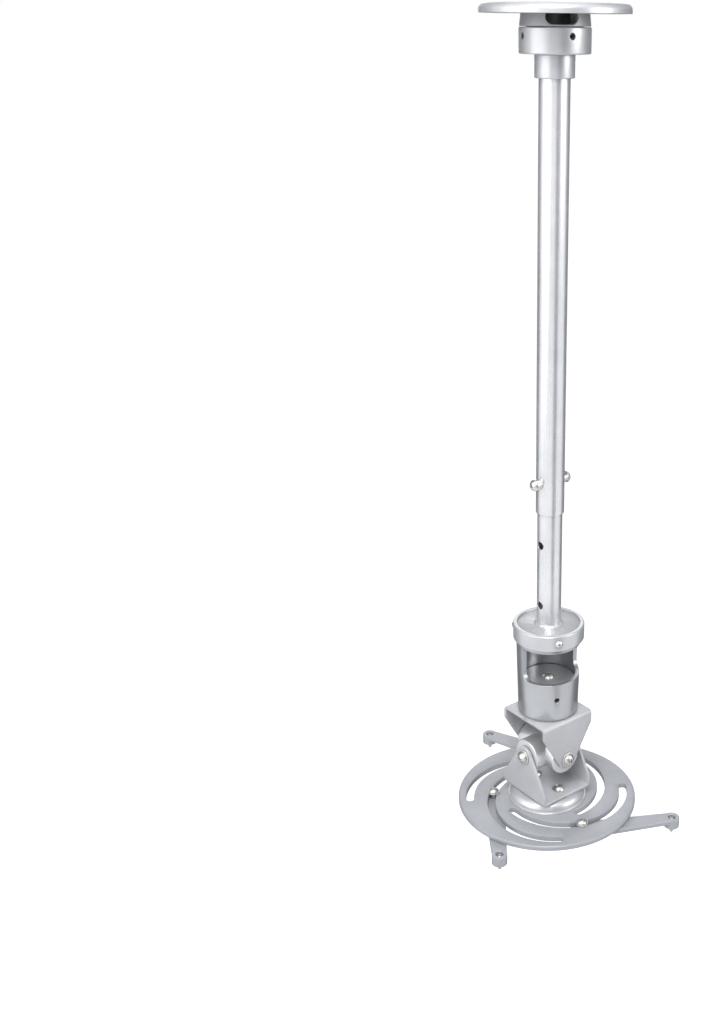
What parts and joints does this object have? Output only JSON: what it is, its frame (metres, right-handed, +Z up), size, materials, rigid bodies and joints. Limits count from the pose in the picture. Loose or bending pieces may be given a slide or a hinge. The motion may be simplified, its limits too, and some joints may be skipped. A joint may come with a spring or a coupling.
{
  "type": "projector ceiling mount",
  "caption": "Telescopic ceiling mount for a projector: swivel collar, two-part pole, cable pod, two-axis tilt head and a slotted plate with swinging feet.",
  "frame": {"origin": "centre of the ceiling plate's upper face", "axes": "+Z up into the ceiling, the pole hangs along -Z; X is the pitch axis of the tilt head and Y its roll axis at rest"},
  "size_m": [0.2863, 0.2182, 0.8708],
  "materials": {
    "painted_silver": "satin",
    "tube_silver": "satin",
    "boss_grey": "satin",
    "turned_aluminium": "satin",
    "powder_grey": "matte",
    "plated_steel": "polished",
    "black_steel": "satin"
  },
  "bodies": {
    "ceiling": {"ceiling_plate": "painted_silver", "ceiling_boss": "boss_grey", "boss_screws": "plated_steel"},
    "upper_pole": {"swivel_collar": "painted_silver", "collar_set_screws": "black_steel", "neck_sleeve": "painted_silver", "outer_tube": "tube_silver", "clamp_screws": "plated_steel"},
    "lower_pole": {"inner_tube": "tube_silver", "tube_flange": "painted_silver", "pod_cap_ring": "painted_silver", "cap_screws": "plated_steel", "pod_body": "painted_silver", "pod_set_screws": "black_steel"},
    "upper_head": {"swivel_boss": "turned_aluminium", "boss_centre_screw": "plated_steel", "boss_nut": "plated_steel", "upper_bracket": "powder_grey"},
    "cross": {"cross_block": "turned_aluminium", "pitch_screws": "plated_steel", "pitch_washers": "plated_steel", "roll_screws": "plated_steel", "roll_washers": "plated_steel"},
    "lower_head": {"lower_bracket": "powder_grey", "bracket_bolts": "plated_steel", "bracket_nuts": "plated_steel", "hub_dome": "painted_silver", "slotted_disc": "painted_silver"},
    "slider_1": {"slot_screw_1": "plated_steel", "slot_washer_1": "plated_steel", "slot_nut_1": "plated_steel"},
    "arm_1": {"arm_1": "powder_grey", "foot_screw_1": "plated_steel"},
    "slider_2": {"slot_screw_2": "plated_steel", "slot_washer_2": "plated_steel", "slot_nut_2": "plated_steel"},
    "arm_2": {"arm_2": "powder_grey", "foot_screw_2": "plated_steel"},
    "slider_3": {"slot_screw_3": "plated_steel", "slot_washer_3": "plated_steel", "slot_nut_3": "plated_steel"},
    "arm_3": {"arm_3": "powder_grey", "foot_screw_3": "plated_steel"}
  },
  "joints": [
    {"name": "pole_swivel", "type": "hinge", "parent": "ceiling", "child": "upper_pole", "pos_m": [0, 0, -0.028], "axis": [0, 0, 1], "continuous": true},
    {"name": "pole_extension", "type": "slide", "parent": "upper_pole", "child": "lower_pole", "axis": [0, 0, -1], "range_m": [-0.12, 0.11]},
    {"name": "head_swivel", "type": "hinge", "parent": "lower_pole", "child": "upper_head", "pos_m": [0, 0, -0.7038], "axis": [0, 0, 1], "continuous": true},
    {"name": "head_pitch", "type": "hinge", "parent": "upper_head", "child": "cross", "pos_m": [0, 0, -0.7823], "axis": [1, 0, 0], "range_deg": [-25, 25]},
    {"name": "head_roll", "type": "hinge", "parent": "cross", "child": "lower_head", "pos_m": [0, 0, -0.7823], "axis": [0, 1, 0], "range_deg": [-25, 25]},
    {"name": "slot_travel_1", "type": "hinge", "parent": "lower_head", "child": "slider_1", "pos_m": [-0.01826, 0.00593, -0.8508], "axis": [0, 0, 1], "range_deg": [-100, 27]},
    {"name": "arm_swing_1", "type": "hinge", "parent": "slider_1", "child": "arm_1", "pos_m": [-0.05036, 0.06893, -0.8508], "axis": [0, 0, 1], "range_deg": [-45, 45]},
    {"name": "slot_travel_2", "type": "hinge", "parent": "lower_head", "child": "slider_2", "pos_m": [0.01826, -0.00593, -0.8508], "axis": [0, 0, 1], "range_deg": [-38, 75]},
    {"name": "arm_swing_2", "type": "hinge", "parent": "slider_2", "child": "arm_2", "pos_m": [-0.03894, -0.04749, -0.8508], "axis": [0, 0, 1], "range_deg": [-45, 35]},
    {"name": "slot_travel_3", "type": "hinge", "parent": "lower_head", "child": "slider_3", "pos_m": [0.00593, 0.01826, -0.8508], "axis": [0, 0, 1], "range_deg": [-55, 70]},
    {"name": "arm_swing_3", "type": "hinge", "parent": "slider_3", "child": "arm_3", "pos_m": [0.07101, -0.00936, -0.8508], "axis": [0, 0, 1], "range_deg": [-45, 45]}
  ]
}
